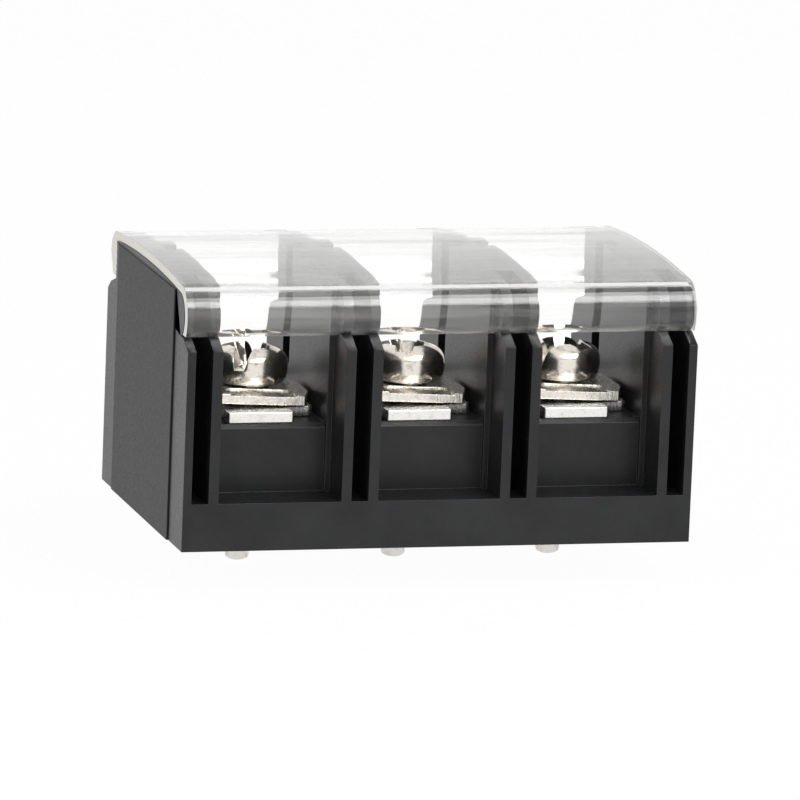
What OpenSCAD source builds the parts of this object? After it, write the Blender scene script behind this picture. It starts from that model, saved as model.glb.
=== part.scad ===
// Barrier terminal strip for a circuit board: three screw clamps in a moulded housing
// with a clear snap-on cover. X runs along the strip, Y from front to rear, Z up.
// The origin is the root of the middle solder pin, on the face that sits on the board.

/* [Housing] */
// Distance from one terminal to the next
pitch = 9.5; // [9:0.1:10]
// Depth of the housing from front to rear
body_depth = 20; // [19.5:0.1:20.5]
// Height of the full-length base under the dividers
base_height = 2.8; // [2.4:0.1:3.2]
// Height of the block top that carries the contacts
block_top = 6.8; // [6.4:0.1:7.2]
// Distance of the block's front face behind the housing's front
block_setback = 3; // [2.8:0.1:3.2]
// Height of the divider tops at their crown
crown_height = 15.1; // [14.8:0.1:15.4]

/* [Dividers] */
// Width of a divider across its two front fins
fin_pair_width = 2.2; // [2:0.1:2.4]
// Width of the open slot between the two front fins
slot_width = 1; // [0.8:0.1:1.1]
// Depth of that slot behind the front
slot_depth = 5; // [4.5:0.1:6]
// Width of a divider behind the fins
divider_width = 2.85; // [2.6:0.05:3]
// Width of a divider's thin rear web
web_width = 1.3; // [1.1:0.1:1.5]

/* [Cover] */
// Thickness of the cover's top sheet
cover_thickness = 0.5; // [0.4:0.05:0.6]
// Thickness of the cover's front leg
front_leg_thickness = 0.6; // [0.5:0.05:0.7]
// Thickness of the cover's rear leg
rear_leg_thickness = 1.45; // [1.3:0.05:1.5]
// Sliding gap between cover and housing
cover_gap = 0.06; // [0.04:0.01:0.08]

/* [Contacts] */
// Thickness of a contact plate
contact_thickness = 0.65; // [0.6:0.05:0.7]
// Width of a contact plate
contact_width = 6.1; // [5.8:0.1:6.3]
// Width of the tongue at the front of a contact plate
tongue_width = 3.95; // [3.7:0.05:4.1]
// Thickness of a clamp plate
clamp_thickness = 0.6; // [0.5:0.05:0.7]
// Width of a clamp plate
clamp_width = 6.2; // [6:0.1:6.3]
// Sideways lean of a loosened clamp plate, in degrees
clamp_lean = 2.5; // [0:0.5:2.5]

/* [Screws] */
// Diameter of a screw's shank
shank_diameter = 2.5; // [2.4:0.05:2.6]
// Diameter of a screw head
head_diameter = 4.6; // [4.4:0.05:4.8]
// Height of a screw head
head_height = 2.2; // [2.1:0.05:2.4]
// Length of a screw below its head
shank_length = 5.8; // [5.5:0.1:6]
// Distance of the screws behind the housing's front
screw_setback = 8.3; // [8.1:0.1:8.5]

/* [Solder pins] */
// Diameter of a solder pin
pin_diameter = 1.4; // [1.2:0.1:1.5]
// Length of a solder pin below the housing
pin_length = 2.65; // [2.4:0.05:3.2]
// Distance of the pins behind the housing's front
pin_setback = 9.5; // [9.3:0.1:9.7]

/* [Hidden] */
poles = 3;
round_fn = 96;

body_width = poles * pitch + fin_pair_width;
far = 40;
eps = 0.01;

// Side outline of a divider, measured from the housing's front and bottom
chamfer_low = 11.7;
chamfer_high = 12.3;
chamfer_run = 1.25;
nose_x = 2.45;
nose_z = 13.42;
nose_r = 1.3;
crown_x = 11;
crown_r = 95;
recess_x = body_depth - 1.95;
shoulder_in = 12.6;
shoulder_mid = 12.2;
shoulder_out = 11.7;

// Lengths of a divider's stretches from the front
fin_end = 2.75;
groove_start = 11.7;
groove_end = 13.2;
post_end = 14.55;
groove_floor = 8.6;
groove_depth = 1;

// Raised panel on each end wall
panel_step = 0.1;
panel_start = 3.3;
panel_end = body_depth - 2.8;
panel_top = 14.76;
panel_groove = 0.12;
block_chamfer = 0.25;

// Cover
cover_end_gap = 0.12;
front_leg_foot = 12.42;
leg_inner_x = recess_x + cover_gap;
leg_x = leg_inner_x + rear_leg_thickness;
rear_leg_foot = 12.7;
rear_leg_taper = 0.45;
rear_taper_top = 14;
rear_foot_r = 0.5;
rear_corner_r = 1.5;
rear_corner_x = leg_x - rear_corner_r;
rear_corner_z = 0.01 + crown_height - crown_r
    + sqrt(pow(crown_r + cover_gap + cover_thickness - rear_corner_r, 2)
    - pow(rear_corner_x - crown_x, 2));
grip_grooves = 4;
grip_spacing = 0.4;
grip_groove_r = 0.12;

// Contact and clamp stack
tongue_start = block_setback + block_chamfer;
tongue_shift = -0.45;
contact_start = 4.9;
contact_end = 14;
contact_top = block_top + contact_thickness;
contact_corner_r = 0.3;
tongue_corner_r = 0.15;
contact_hole_r = 1.5;
clamp_start = 4.6;
clamp_end = 11.4;
clamp_front_corner = [0.6, 1.7];
clamp_rear_corner = [0.6, 2.2];
coin_half_width = 1.95;
coin_end = 6.4;
coin_depth = 0.1;
coin_corner_r = 0.5;
lean_lift = clamp_width / 2 * sin(clamp_lean);
clamp_base = contact_top + lean_lift + eps;
thread_gap = 0.03;
clamp_hole_r = shank_diameter / 2 + 0.08;

// Screw head and its recess
head_waist = 0.95;
head_foot_r = 1.95;
head_base = clamp_base + clamp_thickness + head_foot_r * sin(clamp_lean) + 0.02;
dome_power = 0.72;
recess_depth = 1.2;
slot_top_width = 1.1;
slot_floor_width = 0.55;
cross_reach = 1.8;
recess_cone = [0.45, 1.2];
screw_angles = [62, -20, 38];

// Solder post
post_r = 2.5;
post_floor = 1.5;
post_neck_r = 1.2;
bore_floor = 2;
tip_height = 0.3;

function pole_x(n) = (n - (poles + 1) / 2) * pitch;
function divider_x(k) = (k - poles / 2) * pitch;
screw_y = screw_setback - pin_setback;

// Places a side outline upright, from x0 to x1 along the strip
module along_strip(x0, x1) {
    translate([x0, -pin_setback, 0]) rotate([90, 0, 90]) linear_extrude(x1 - x0) children();
}

module crown_disc(extra = 0) {
    translate([crown_x, crown_height - crown_r]) circle(r = crown_r + extra, $fn = 720);
}

module divider_outline() {
    intersection() {
        union() {
            polygon([[0, 0], [0, chamfer_low], [chamfer_run, chamfer_high],
                [nose_x - 0.15, chamfer_high], [nose_x - 0.15, crown_height + 1],
                [recess_x, crown_height + 1], [recess_x, shoulder_in],
                [body_depth - 0.7, shoulder_mid], [body_depth, shoulder_out], [body_depth, 0]]);
            translate([nose_x, nose_z]) circle(r = nose_r, $fn = round_fn);
        }
        crown_disc();
    }
}

// One stretch of a divider: from start to end behind the front, x0 to x1 along the strip
module divider_part(x0, x1, start, end) {
    along_strip(x0, x1) intersection() {
        divider_outline();
        translate([start, -1]) square([end - start, far]);
    }
}

module divider(k) {
    x = divider_x(k);
    left = k == 0 ? -body_width / 2 + panel_step : -far;
    right = k == poles ? body_width / 2 - panel_step : far;
    divider_part(max(x - fin_pair_width / 2, left), min(x + fin_pair_width / 2, right),
        0, fin_end + 0.2);
    divider_part(max(x - divider_width / 2, left), min(x + divider_width / 2, right),
        fin_end, post_end);
    divider_part(k == 0 ? left : x - web_width / 2, k == poles ? right : x + web_width / 2,
        post_end - 0.2, body_depth);
    if (k == 0) end_panel(-body_width / 2);
    if (k == poles) end_panel(body_width / 2 - panel_step - 0.2);
}

module end_panel(x) {
    along_strip(x, x + panel_step + 0.2) polygon([[panel_start, 0], [panel_start, panel_top],
        [panel_end, panel_top], [panel_end, 0]]);
}

// Fine grooves where the raised panels end
module panel_grooves() {
    for (side = [-1, 1], start = [panel_start - panel_groove, panel_end])
        translate([side * (body_width / 2 - panel_step) - panel_groove, start - pin_setback, -1])
            cube([2 * panel_groove, panel_groove, panel_top + 1]);
}

module divider_slot(k) {
    translate([divider_x(k) - slot_width / 2, -pin_setback - 1, base_height])
        cube([slot_width, slot_depth + 1, far]);
}

// Vertical grooves in the two faces that a divider shows to its pockets
module pocket_grooves(k) {
    for (side = [-1, 1]) {
        inner = divider_x(k) + side * (divider_width / 2 - groove_depth / 2 + 0.1);
        if ((k > 0 || side > 0) && (k < poles || side < 0))
            translate([inner - groove_depth / 2 - 0.1, groove_start - pin_setback, groove_floor])
                cube([groove_depth + 0.2, groove_end - groove_start, far]);
    }
}

module base_and_block() {
    width = body_width - 2 * panel_step;
    along_strip(-width / 2, width / 2) polygon([[0, 0], [0, base_height],
        [block_setback, base_height], [block_setback, block_top - block_chamfer],
        [block_setback + block_chamfer, block_top], [body_depth, block_top], [body_depth, 0]]);
}

module post_hole(n) {
    translate([pole_x(n), screw_y, post_floor]) cylinder(r = post_r, h = far, $fn = round_fn);
    translate([pole_x(n), 0, -1]) cylinder(r = post_neck_r, h = post_floor + 1 + eps, $fn = round_fn);
}

module housing() {
    color([0.16, 0.16, 0.17]) difference() {
        union() {
            base_and_block();
            for (k = [0:poles]) divider(k);
        }
        for (k = [0:poles]) divider_slot(k);
        for (k = [0:poles]) pocket_grooves(k);
        for (n = [1:poles]) post_hole(n);
        panel_grooves();
    }
}

// The cover's outer side: front bead, arched top and rounded rear corner
module cover_outside() {
    intersection() {
        union() {
            translate([nose_x, nose_z])
                circle(r = nose_r + cover_gap + front_leg_thickness, $fn = round_fn);
            translate([nose_x - 0.15, 0]) square([rear_corner_x - nose_x + 0.15, far]);
            translate([nose_x, 0]) square([leg_x - nose_x, rear_corner_z]);
            translate([rear_corner_x, rear_corner_z]) circle(r = rear_corner_r, $fn = round_fn);
        }
        crown_disc(cover_gap + cover_thickness);
    }
}

// What the cover slides over: a divider with the sliding gap around it
module cover_inside() {
    intersection() {
        union() {
            translate([nose_x, nose_z]) circle(r = nose_r + cover_gap, $fn = round_fn);
            translate([nose_x - 0.15, -1]) square([leg_inner_x - nose_x + 0.15, far]);
        }
        crown_disc(cover_gap);
    }
}

// Material left off the rear leg, which leans in towards a rounded foot
module rear_leg_relief() {
    foot_x = leg_x - rear_leg_taper - rear_foot_r;
    foot_z = rear_leg_foot + rear_foot_r;
    difference() {
        translate([foot_x, 0]) square([far, rear_taper_top]);
        polygon([[foot_x, rear_taper_top + 1], [leg_x, rear_taper_top + 1], [leg_x, rear_taper_top],
            [leg_x - rear_leg_taper, foot_z], [foot_x, foot_z]]);
        translate([foot_x, foot_z]) circle(r = rear_foot_r, $fn = round_fn);
    }
}

module cover_outline() {
    difference() {
        cover_outside();
        cover_inside();
        translate([-1, -1]) square([body_depth / 2, front_leg_foot + 1]);
        translate([body_depth / 2, -1]) square([body_depth, rear_leg_foot + 1]);
        rear_leg_relief();
        for (i = [1:grip_grooves])
            translate([leg_inner_x, rear_leg_foot + i * grip_spacing])
                circle(r = grip_groove_r, $fn = 24);
    }
}

module cover() {
    half = body_width / 2 - cover_end_gap;
    color([0.86, 0.88, 0.87, 0.45]) along_strip(-half, half) cover_outline();
}

module rounded_plate(x0, x1, y0, y1, r, h) {
    linear_extrude(h) {
        translate([x0 + r, y0]) square([x1 - x0 - 2 * r, y1 - y0]);
        translate([x0, y0 + r]) square([x1 - x0, y1 - y0 - 2 * r]);
        for (x = [x0 + r, x1 - r], y = [y0 + r, y1 - r]) translate([x, y]) circle(r = r, $fn = 48);
    }
}

module contact_plate(n) {
    color([0.83, 0.81, 0.76]) translate([pole_x(n), -pin_setback, block_top]) difference() {
        union() {
            rounded_plate(-contact_width / 2, contact_width / 2, contact_start, contact_end,
                contact_corner_r, contact_thickness);
            rounded_plate(tongue_shift - tongue_width / 2, tongue_shift + tongue_width / 2,
                tongue_start, contact_start + 1.5, tongue_corner_r, contact_thickness);
        }
        translate([0, screw_setback, -1]) cylinder(r = contact_hole_r, h = 4, $fn = round_fn);
    }
}

module solder_post(n) {
    color([0.8, 0.78, 0.74]) translate([pole_x(n), 0, 0]) difference() {
        union() {
            translate([0, screw_y, post_floor])
                cylinder(r = post_r, h = block_top - post_floor, $fn = round_fn);
            cylinder(r = post_neck_r, h = post_floor + eps, $fn = round_fn);
            translate([0, 0, tip_height - pin_length])
                cylinder(d = pin_diameter, h = pin_length - tip_height + eps, $fn = round_fn);
            rotate_extrude($fn = round_fn) polygon(concat([[0, tip_height - pin_length + eps]],
                [for (a = [0:15:75]) [pin_diameter / 2 * cos(a), tip_height * (1 - sin(a)) - pin_length]],
                [[0, -pin_length]]));
        }
        translate([0, screw_y, bore_floor])
            cylinder(r = shank_diameter / 2 + thread_gap, h = far, $fn = round_fn);
    }
}

// Stamped plate with cut corners and a shallow coined bay at the middle of its front edge
module clamp_plate(n) {
    half = clamp_width / 2;
    front = clamp_front_corner;
    rear = clamp_rear_corner;
    color([0.8, 0.78, 0.74]) translate([pole_x(n), 0, clamp_base]) rotate([0, clamp_lean, 0])
        translate([0, -pin_setback, 0]) difference() {
            linear_extrude(clamp_thickness) polygon([
                [front[0] - half, clamp_start], [half - front[0], clamp_start],
                [half, clamp_start + front[1]], [half, clamp_end - rear[1]],
                [half - rear[0], clamp_end], [rear[0] - half, clamp_end],
                [-half, clamp_end - rear[1]], [-half, clamp_start + front[1]]]);
            translate([0, 0, clamp_thickness - coin_depth]) rounded_plate(
                -coin_half_width, coin_half_width, clamp_start - 1, coin_end, coin_corner_r, 1);
            translate([0, screw_setback, -1]) cylinder(r = clamp_hole_r, h = 4, $fn = round_fn);
        }
}

// V-shaped trench through the centre of the head's top
module trench(length, top_width, floor_width) {
    translate([-length / 2, 0, head_height - recess_depth]) rotate([90, 0, 90])
        linear_extrude(length) polygon([[-floor_width / 2, 0], [floor_width / 2, 0],
            [top_width / 2, recess_depth], [top_width / 2, head_height],
            [-top_width / 2, head_height], [-top_width / 2, recess_depth]]);
}

module screw_head() {
    r = head_diameter / 2;
    rise = head_height - head_waist;
    rotate_extrude($fn = round_fn) polygon(concat([[0, 0], [head_foot_r, 0]],
        [for (a = [30:20:70]) [head_foot_r + (r - head_foot_r) * sin(a), head_waist * (1 - cos(a))]],
        [for (a = [0:9:81]) [r * pow(cos(a), dome_power), head_waist + rise * pow(sin(a), dome_power)]],
        [[0, head_height]]));
}

module screw(n) {
    color([0.78, 0.75, 0.7]) translate([pole_x(n), screw_y, head_base])
        rotate([0, 0, screw_angles[n - 1]]) difference() {
            union() {
                screw_head();
                translate([0, 0, -shank_length]) cylinder(d = shank_diameter,
                    h = shank_length + eps, $fn = round_fn);
            }
            trench(head_diameter + 2, slot_top_width, slot_floor_width);
            rotate([0, 0, 90]) trench(2 * cross_reach, slot_top_width, slot_floor_width);
            translate([0, 0, head_height - recess_depth - 0.35])
                cylinder(r1 = recess_cone[0], r2 = recess_cone[1], h = recess_depth + 0.36, $fn = 48);
        }
}

housing();
cover();
contact_plate(1);  // contact_plate_1
contact_plate(2);  // contact_plate_2
contact_plate(3);  // contact_plate_3
solder_post(1);  // solder_post_1
solder_post(2);  // solder_post_2
solder_post(3);  // solder_post_3
clamp_plate(1);  // clamp_plate_1
clamp_plate(2);  // clamp_plate_2
clamp_plate(3);  // clamp_plate_3
screw(1);  // screw_1
screw(2);  // screw_2
screw(3);  // screw_3
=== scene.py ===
import math
import bmesh
import bpy
from mathutils import Matrix, Vector


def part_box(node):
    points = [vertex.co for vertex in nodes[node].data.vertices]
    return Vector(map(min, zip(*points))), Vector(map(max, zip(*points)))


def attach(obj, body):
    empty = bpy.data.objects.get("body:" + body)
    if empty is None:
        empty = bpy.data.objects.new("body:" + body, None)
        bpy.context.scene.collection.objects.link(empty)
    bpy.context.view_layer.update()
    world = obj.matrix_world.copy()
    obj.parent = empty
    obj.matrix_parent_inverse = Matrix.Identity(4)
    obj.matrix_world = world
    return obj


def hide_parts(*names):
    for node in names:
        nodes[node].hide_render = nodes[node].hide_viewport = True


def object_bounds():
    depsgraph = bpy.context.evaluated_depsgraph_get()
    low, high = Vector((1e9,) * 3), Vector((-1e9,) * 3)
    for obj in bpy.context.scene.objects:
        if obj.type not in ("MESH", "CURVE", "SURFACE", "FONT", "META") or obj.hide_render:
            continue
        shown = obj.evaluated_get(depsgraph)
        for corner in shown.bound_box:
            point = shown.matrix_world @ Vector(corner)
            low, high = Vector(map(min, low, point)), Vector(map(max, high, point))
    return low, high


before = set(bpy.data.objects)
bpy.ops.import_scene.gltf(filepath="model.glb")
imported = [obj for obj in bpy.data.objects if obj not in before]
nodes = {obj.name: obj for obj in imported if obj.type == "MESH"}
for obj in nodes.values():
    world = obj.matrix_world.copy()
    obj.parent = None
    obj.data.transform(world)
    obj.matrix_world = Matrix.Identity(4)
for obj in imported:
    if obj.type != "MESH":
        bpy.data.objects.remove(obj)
scene = bpy.context.scene
mm = 0.001
cadBox = [list(corner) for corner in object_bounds()]
lowest = cadBox[0][2]
print("frame loaded:", len(nodes), "nodes")

view = {
    "yaw": 15.72,  # degrees to the left of straight on
    "pitch": 11.44,  # degrees looking down
    "roll": 2.28,  # degrees the picture is turned clockwise
    "distance": 462.7,  # mm along the line of sight to the strip's near lower corner
    "aside": (-12.64, 8.75),  # mm from the line of sight to that corner, to the right and down
    "lens": 363.06,  # mm on a 36 mm wide sensor
}


def makeCamera():
    yaw, pitch, roll = (math.radians(view[key]) for key in ("yaw", "pitch", "roll"))
    forward = Vector((math.sin(yaw) * math.cos(pitch), math.cos(yaw) * math.cos(pitch), -math.sin(pitch)))
    level = Vector((math.cos(yaw), -math.sin(yaw), 0))
    upright = level.cross(forward)
    right = math.cos(roll) * level + math.sin(roll) * upright
    up = -math.sin(roll) * level + math.cos(roll) * upright
    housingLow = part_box("housing")[0]
    corner = Vector((housingLow.x, housingLow.y, 0))
    across, down = view["aside"]
    place = corner - (across * right - down * up + view["distance"] * forward) * mm
    data = bpy.data.cameras.new("benchCamera")
    data.lens = view["lens"]
    data.sensor_width = 36
    data.clip_start = 0.01
    camera = bpy.data.objects.new("benchCamera", data)
    camera.matrix_world = Matrix.Translation(place) @ Matrix((right, up, -forward)).transposed().to_4x4()
    scene.collection.objects.link(camera)
    scene.camera = camera


makeCamera()
print("camera placed")


class Shader:
    # a material or world with short calls for adding and joining its nodes
    def __init__(self, name, forWorld=False):
        blocks = bpy.data.worlds if forWorld else bpy.data.materials
        self.block = blocks.new(name)
        self.block.use_nodes = True
        self.tree = self.block.node_tree
        self.tree.nodes.clear()
        self.output = self.add("ShaderNodeOutputWorld" if forWorld else "ShaderNodeOutputMaterial")
        self.coords = self.add("ShaderNodeTexCoord").outputs["Generated" if forWorld else "Object"]

    def add(self, kind, **settings):
        node = self.tree.nodes.new(kind)
        for key, value in settings.items():
            if hasattr(node, key):
                setattr(node, key, value)
            else:
                node.inputs[key.replace("_", " ")].default_value = value
        return node

    def join(self, source, target):
        self.tree.links.new(source, target)

    def principled(self, colour=(1, 1, 1), **settings):
        shader = self.add("ShaderNodeBsdfPrincipled", **settings)
        shader.inputs["Base Color"].default_value = (*colour, 1)
        return shader

    def show(self, shader):
        self.join(shader.outputs[0], self.output.inputs["Surface"])

    # fine noise: grains across a millimetre, drawn out along an axis by stretch
    def noise(self, perMm, detail=2, roughness=0.5, stretch=(1, 1, 1)):
        mapping = self.add("ShaderNodeMapping")
        mapping.inputs["Scale"].default_value = [perMm / mm / s for s in stretch]
        self.join(self.coords, mapping.inputs["Vector"])
        noise = self.add("ShaderNodeTexNoise", Scale=1, Detail=detail, Roughness=roughness)
        self.join(mapping.outputs[0], noise.inputs["Vector"])
        return noise.outputs["Fac"]

    def remap(self, value, fromRange, toRange):
        node = self.add("ShaderNodeMapRange")
        for name, number in zip(("From Min", "From Max", "To Min", "To Max"), (*fromRange, *toRange)):
            node.inputs[name].default_value = number
        self.join(value, node.inputs["Value"])
        return node.outputs[0]

    def math(self, operation, first, second=0.5):
        node = self.add("ShaderNodeMath", operation=operation)
        for socket, value in zip(node.inputs, (first, second)):
            if isinstance(value, (int, float)):
                socket.default_value = value
            else:
                self.join(value, socket)
        return node.outputs[0]

    def blend(self, factor, first, second):
        node = self.add("ShaderNodeMix", data_type="RGBA")
        self.join(factor, node.inputs["Factor"])
        for socket, value in ((node.inputs[6], first), (node.inputs[7], second)):
            if isinstance(value, tuple):
                socket.default_value = (*value, 1)
            else:
                self.join(value, socket)
        return node.outputs[2]

    def mixed(self, factor, first, second):
        mix = self.add("ShaderNodeMixShader")
        self.join(factor, mix.inputs[0])
        self.join(first.outputs[0], mix.inputs[1])
        self.join(second.outputs[0], mix.inputs[2])
        return mix

    def bump(self, height, depthMm, strength=1.0, onto=None):
        node = self.add("ShaderNodeBump", Strength=strength, Distance=depthMm * mm)
        self.join(height, node.inputs["Height"])
        if onto:
            self.join(onto, node.inputs["Normal"])
        return node.outputs[0]

    # how far a face points along one axis of the strip
    def facing(self, axis):
        split = self.add("ShaderNodeSeparateXYZ")
        self.join(self.add("ShaderNodeTexCoord").outputs["Normal"], split.inputs[0])
        return split.outputs[axis]

    # place along one axis of the strip, or a view's direction in a world
    def along(self, axis):
        split = self.add("ShaderNodeSeparateXYZ")
        self.join(self.coords, split.inputs[0])
        return split.outputs[axis]


housingLook = {
    "colour": (0.006, 0.0063, 0.0072),
    "paleColour": (0.013, 0.0135, 0.0145),
    "roughness": (0.3, 0.42),
    "flowPerMm": 0.3,
    "flowRange": (0.35, 0.7),  # noise between these turns pale
    "grainRange": (0.3, 0.7),
    "grainPerMm": 7,
    "grainDepth": 0.004,
    "panelFromMiddle": 15.3,  # mm: the raised end panels start here
    # paler colour on the end panels: a painted sheen standing in for the grazing reflection off their
    # grain
    "panelPaintedSheenColour": (0.02, 0.02, 0.022),
    "panelRoughness": 0.5,
    "panelGrainPerMm": 9,
    "panelGrainDepth": 0.02,
}


def makeHousingPlastic():
    look = housingLook
    s = Shader("blackHousingPlastic")
    body = s.principled(IOR=1.42)
    flow = s.noise(look["flowPerMm"], 4, 0.6)
    grain = s.noise(look["grainPerMm"], 3, 0.6)
    colour = s.blend(s.remap(flow, look["flowRange"], (0, 1)), look["colour"], look["paleColour"])
    onPanel = s.math("GREATER_THAN", s.math("ABSOLUTE", s.along("X")), look["panelFromMiddle"] * mm)
    # the end panels take the paler colour, a painted sheen
    s.join(s.blend(onPanel, colour, look["panelPaintedSheenColour"]), body.inputs["Base Color"])
    rough = s.remap(grain, look["grainRange"], look["roughness"])
    extra = s.math("MULTIPLY", onPanel, look["panelRoughness"] - look["roughness"][0])
    s.join(s.math("ADD", rough, extra), body.inputs["Roughness"])
    eroded = s.math("MULTIPLY", s.noise(look["panelGrainPerMm"], 3, 0.65), onPanel)
    s.join(s.bump(eroded, look["panelGrainDepth"], 1, s.bump(grain, look["grainDepth"])),
           body.inputs["Normal"])
    s.show(body)
    return s.block


coverLook = {
    "tint": (0.985, 0.985, 0.975),
    "roughness": 0.03,
    "drawLinesPerMm": 3,
    "drawLineDepth": 0.0012,
    "wavesPerMm": 0.25,  # slow waves along the sheet
    "waveDepth": 0.02,
    "streaksPerMm": 1.6,
    "streakRange": (0.45, 0.75),
    "haze": (0.0, 0.09),
    "hazeColour": (0.85, 0.84, 0.80),
    "cutColour": (0.66, 0.65, 0.60),
    "cutGrainPerMm": 6,
    "cutGrainDepth": 0.01,
    "lampColour": (0.9, 0.9, 0.88),  # what the sheet leaves of the lamps' light
}


def makeClearPlastic():
    look = coverLook
    s = Shader("clearCoverPlastic")
    clear = s.principled(look["tint"], Roughness=look["roughness"], IOR=1.49, Transmission_Weight=1)
    lines = s.noise(look["drawLinesPerMm"], 3, 0.7, (60, 1, 1))
    waves = s.noise(look["wavesPerMm"], 1, 0.5, (4, 1, 1))
    s.join(s.bump(lines, look["drawLineDepth"], 1, s.bump(waves, look["waveDepth"])),
           clear.inputs["Normal"])
    # a thin scuffed haze in long streaks
    haze = s.principled(look["hazeColour"], Roughness=0.6, IOR=1.49)
    streaks = s.remap(s.noise(look["streaksPerMm"], 4, 0.7, (30, 1, 1)), look["streakRange"], look["haze"])
    hazy = s.mixed(streaks, clear, haze)
    cut = s.principled(look["cutColour"], Roughness=0.55, IOR=1.49)
    cutGrain = s.noise(look["cutGrainPerMm"], 2, 0.5, (1, 1, 4))
    s.join(s.bump(cutGrain, look["cutGrainDepth"]), cut.inputs["Normal"])
    cutFace = s.math("GREATER_THAN", s.math("ABSOLUTE", s.facing("X")), 0.8)
    # lamp light passes through the sheet
    path = s.add("ShaderNodeLightPath")
    through = s.add("ShaderNodeBsdfTransparent", Color=(*look["lampColour"], 1))
    s.show(s.mixed(path.outputs["Is Shadow Ray"], s.mixed(cutFace, hazy, cut), through))
    return s.block


metalLooks = {
    "contactTin": {"colour": (0.88, 0.87, 0.84), "dull": (0.66, 0.64, 0.60), "roughness": (0.2, 0.36),
                   "grainPerMm": 5, "grainDepth": 0.004, "edgeGrain": 0.3},
    "clampNickel": {"colour": (0.80, 0.76, 0.70), "dull": (0.50, 0.47, 0.43), "roughness": (0.18, 0.4),
                    "grainPerMm": 5, "grainDepth": 0.006, "edgeGrain": 1.0},
    "screwNickel": {"colour": (0.82, 0.77, 0.70), "dull": (0.42, 0.38, 0.33), "roughness": (0.1, 0.26),
                    "grainPerMm": 4, "grainDepth": 0.005, "edgeGrain": 0},
    "postTin": {"colour": (0.72, 0.70, 0.66), "dull": (0.45, 0.43, 0.40), "roughness": (0.25, 0.45),
                "grainPerMm": 5, "grainDepth": 0.006, "edgeGrain": 0},
}


platedWear = {
    "spotScale": 0.45,  # dull spots against the grain
    "spotRange": (0.5, 0.78),
    "grainRange": (0.3, 0.7),
    "tornPerMm": 7,
    "tornDepth": 0.03,
}


def makeMetal(name):
    look = metalLooks[name]
    wear = platedWear
    s = Shader(name)
    metal = s.principled(Metallic=1)
    grain = s.noise(look["grainPerMm"], 4, 0.65)
    spots = s.noise(look["grainPerMm"] * wear["spotScale"], 3, 0.6)
    s.join(s.blend(s.remap(spots, wear["spotRange"], (0, 1)), look["colour"], look["dull"]),
           metal.inputs["Base Color"])
    s.join(s.remap(grain, wear["grainRange"], look["roughness"]), metal.inputs["Roughness"])
    normal = s.bump(grain, look["grainDepth"])
    if look["edgeGrain"]:
        # upright tearing on the sheared front and rear edges
        onEdge = s.math("GREATER_THAN", s.math("ABSOLUTE", s.facing("Y")), 0.7)
        torn = s.math("MULTIPLY", s.noise(wear["tornPerMm"], 3, 0.6, (1, 1, 5)), onEdge)
        normal = s.bump(torn, wear["tornDepth"], look["edgeGrain"], normal)
    s.join(normal, metal.inputs["Normal"])
    s.show(metal)
    return s.block


edgeWidths = {  # mm
    "housing": 0.07,
    "cover": 0.05,
    "contact_plate": 0.08,
    "clamp_plate": 0.06,
    "screw": 0.05,
    "solder_post": 0.05,
}
edgeRounding = {
    "mergeGap": 0.0005,  # mm
    "flatAngle": 0.5,  # degrees: faces closer than this become one
    "roundAbove": 28,  # degrees: sharper edges are rounded
    "creaseAbove": 42,  # degrees: sharper edges still shade as edges
    "segments": 2,
}


# a copy of a frame solid with its sharp edges rounded stands in for it
def roundedCopy(node, body, material, width):
    bm = bmesh.new()
    bm.from_mesh(nodes[node].data)
    bm.transform(Matrix.Scale(1 / mm, 4))  # bevels work better in millimetres
    bmesh.ops.remove_doubles(bm, verts=bm.verts, dist=edgeRounding["mergeGap"])
    bmesh.ops.dissolve_limit(bm, angle_limit=math.radians(edgeRounding["flatAngle"]),
                             verts=bm.verts, edges=bm.edges)
    edges = [e for e in bm.edges if len(e.link_faces) == 2
             and math.degrees(e.calc_face_angle(0)) > edgeRounding["roundAbove"]]
    bmesh.ops.bevel(bm, geom=edges, offset=width, offset_type="OFFSET",
                    segments=edgeRounding["segments"], profile=0.5, affect="EDGES", clamp_overlap=True)
    bm.transform(Matrix.Scale(mm, 4))
    mesh = bpy.data.meshes.new(node + "_rounded")
    bm.to_mesh(mesh)
    bm.free()
    mesh.materials.append(material)
    mesh.shade_smooth()
    piece = bpy.data.objects.new(node + "_rounded", mesh)
    scene.collection.objects.link(piece)
    mesh.set_sharp_from_angle(angle=math.radians(edgeRounding["creaseAbove"]))
    weighted = piece.modifiers.new("evenNormals", "WEIGHTED_NORMAL")
    weighted.keep_sharp = True
    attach(piece, body)
    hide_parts(node)


def dressParts():
    plastic = makeHousingPlastic()
    roundedCopy("housing", "base", plastic, edgeWidths["housing"])
    roundedCopy("cover", "cover", makeClearPlastic(), edgeWidths["cover"])
    tin, nickel, bright, post = (makeMetal(name) for name in metalLooks)
    for pole in (1, 2, 3):
        roundedCopy(f"contact_plate_{pole}", "base", tin, edgeWidths["contact_plate"])
        roundedCopy(f"clamp_plate_{pole}", f"clamp_{pole}", nickel, edgeWidths["clamp_plate"])
        roundedCopy(f"screw_{pole}", f"screw_{pole}", bright, edgeWidths["screw"])
        roundedCopy(f"solder_post_{pole}", "base", post, edgeWidths["solder_post"])
    print("parts dressed")


dressParts()


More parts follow.
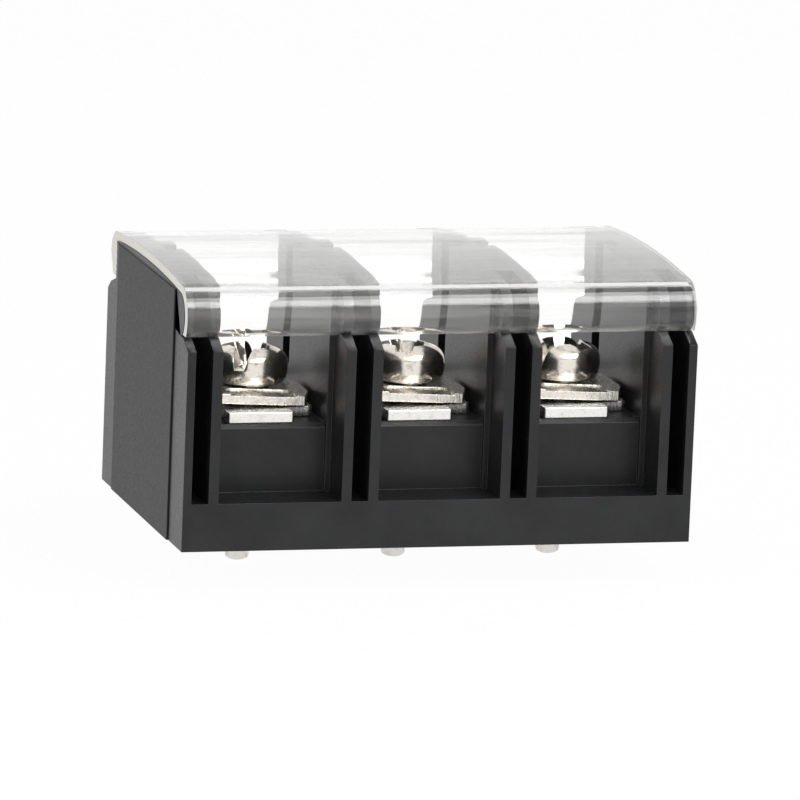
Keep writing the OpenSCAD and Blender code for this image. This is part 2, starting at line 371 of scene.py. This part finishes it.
studio = {
    "floorDrop": 0.05,  # mm below the lowest pin
    "floorSize": 400,  # mm from the middle to each side
    "floorColour": (0.8, 0.8, 0.8),
    "floorGlow": 0.97,  # how white the floor looks to the camera and in reflections
    "skyBright": 1.0,  # near the horizon
    "skyDark": 0.22,  # overhead
    "skyTurn": (0.35, 0.85),  # height of the sky's change, as a sine
    "middle": (0, 0, 10),  # mm: the softboxes face this point
    "softboxes": {
        "frontBox": {"towards": (0.3, -0.6, 0.78), "distance": 300, "size": (240, 150), "watts": 0.75},
        "leftBox": {"towards": (-0.85, -0.45, 0.3), "distance": 220, "size": (90, 90), "watts": 0.1},
    },
}


# 1 for any of the named rays, otherwise 0
def seenBy(s, *rays):
    path = s.add("ShaderNodeLightPath")
    seen = path.outputs[rays[0]]
    for ray in rays[1:]:
        seen = s.math("MAXIMUM", seen, path.outputs[ray])
    return seen


def makeFloor():
    size = studio["floorSize"] * mm
    mesh = bpy.data.meshes.new("floor")
    bm = bmesh.new()
    bmesh.ops.create_grid(bm, x_segments=1, y_segments=1, size=size)
    bm.to_mesh(mesh)
    bm.free()
    floor = bpy.data.objects.new("floor", mesh)
    floor.location.z = lowest - studio["floorDrop"] * mm
    scene.collection.objects.link(floor)
    s = Shader("whiteFloor")
    paper = s.add("ShaderNodeBsdfDiffuse", Color=(*studio["floorColour"], 1))
    glow = s.add("ShaderNodeEmission", Color=(1, 1, 1, 1), Strength=1)
    seen = seenBy(s, "Is Camera Ray", "Is Transmission Ray", "Is Glossy Ray")
    s.show(s.mixed(s.math("MULTIPLY", seen, studio["floorGlow"]), paper, glow))
    mesh.materials.append(s.block)


def makeWorld():
    s = Shader("studioWorld", forWorld=True)
    sky = s.remap(s.along("Z"), studio["skyTurn"], (studio["skyBright"], studio["skyDark"]))
    seen = seenBy(s, "Is Camera Ray", "Is Transmission Ray")
    background = s.add("ShaderNodeBackground", Color=(1, 1, 1, 1))
    s.join(s.math("MAXIMUM", sky, seen), background.inputs["Strength"])
    s.show(background)
    scene.world = s.block


def addSoftbox(name, box):
    data = bpy.data.lights.new(name, "AREA")
    data.shape = "RECTANGLE"
    data.size, data.size_y = (size * mm for size in box["size"])
    data.energy = box["watts"]
    lamp = bpy.data.objects.new(name, data)
    middle = Vector(studio["middle"]) * mm
    lamp.location = middle + Vector(box["towards"]).normalized() * box["distance"] * mm
    lamp.rotation_euler = (middle - lamp.location).to_track_quat("-Z", "Y").to_euler()
    scene.collection.objects.link(lamp)


makeFloor()
makeWorld()
for name, box in studio["softboxes"].items():
    addSoftbox(name, box)
scene.view_settings.view_transform = "Standard"
print("studio set")
